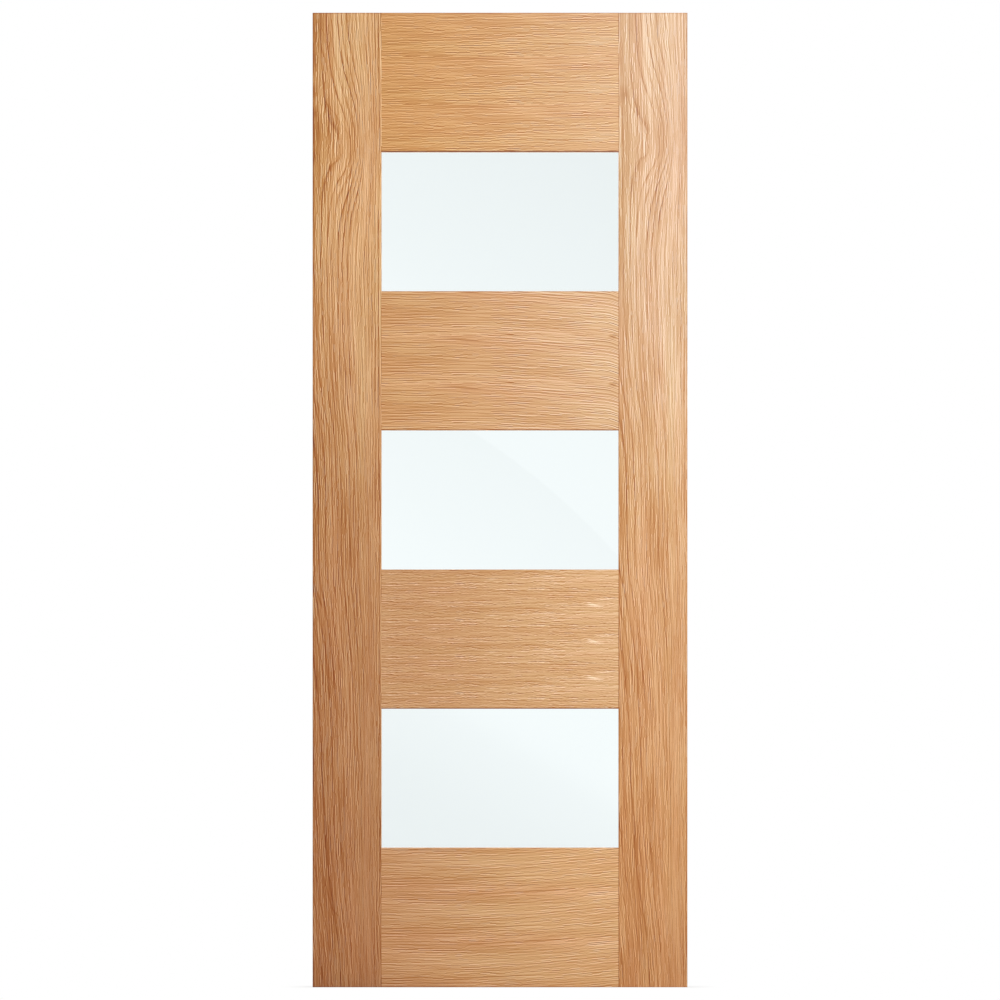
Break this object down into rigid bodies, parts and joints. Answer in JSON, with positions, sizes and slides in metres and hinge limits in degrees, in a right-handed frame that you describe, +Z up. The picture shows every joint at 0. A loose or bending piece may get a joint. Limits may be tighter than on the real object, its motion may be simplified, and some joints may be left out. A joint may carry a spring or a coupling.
{
  "type": "glazed interior door leaf",
  "caption": "Interior door leaf of oak-veneered stiles and rails round clear glass panes, beaded at the back, to be hung by hinges on a long edge.",
  "frame": {"origin": "on the flat face of the hinge edge, half way through the thickness, at the leaf's bottom end", "axes": "+X across the leaf from the hinge edge to the latch edge, +Y through the thickness from the front to the back, where the beads are, +Z up"},
  "size_m": [0.762, 0.035, 1.981],
  "materials": {
    "oak_veneer": "clear satin lacquer",
    "oak_lipping": "clear satin lacquer",
    "oak_bead": "clear satin lacquer",
    "timber_core": "sawn and sanded ends",
    "clear_glass": "clear toughened float glass"
  },
  "bodies": {
    "root": {"bottom_pane": "clear_glass", "bottom_pane_left_bead": "oak_bead", "bottom_pane_lower_bead": "oak_bead", "bottom_pane_right_bead": "oak_bead", "bottom_pane_upper_bead": "oak_bead", "bottom_rail_back_veneer": "oak_veneer", "bottom_rail_core": "timber_core", "bottom_rail_front_veneer": "oak_veneer", "bottom_rail_lower_lipping": "oak_lipping", "bottom_rail_upper_lipping": "oak_lipping", "left_stile_back_veneer": "oak_veneer", "left_stile_core": "timber_core", "left_stile_edge_lipping": "oak_lipping", "left_stile_front_veneer": "oak_veneer", "left_stile_glazing_lipping": "oak_lipping", "lower_rail_back_veneer": "oak_veneer", "lower_rail_core": "timber_core", "lower_rail_front_veneer": "oak_veneer", "lower_rail_lower_lipping": "oak_lipping", "lower_rail_upper_lipping": "oak_lipping", "middle_pane": "clear_glass", "middle_pane_left_bead": "oak_bead", "middle_pane_lower_bead": "oak_bead", "middle_pane_right_bead": "oak_bead", "middle_pane_upper_bead": "oak_bead", "right_stile_back_veneer": "oak_veneer", "right_stile_core": "timber_core", "right_stile_edge_lipping": "oak_lipping", "right_stile_front_veneer": "oak_veneer", "right_stile_glazing_lipping": "oak_lipping", "top_pane": "clear_glass", "top_pane_left_bead": "oak_bead", "top_pane_lower_bead": "oak_bead", "top_pane_right_bead": "oak_bead", "top_pane_upper_bead": "oak_bead", "top_rail_back_veneer": "oak_veneer", "top_rail_core": "timber_core", "top_rail_front_veneer": "oak_veneer", "top_rail_lower_lipping": "oak_lipping", "top_rail_upper_lipping": "oak_lipping", "upper_rail_back_veneer": "oak_veneer", "upper_rail_core": "timber_core", "upper_rail_front_veneer": "oak_veneer", "upper_rail_lower_lipping": "oak_lipping", "upper_rail_upper_lipping": "oak_lipping"}
  },
  "joints": []
}
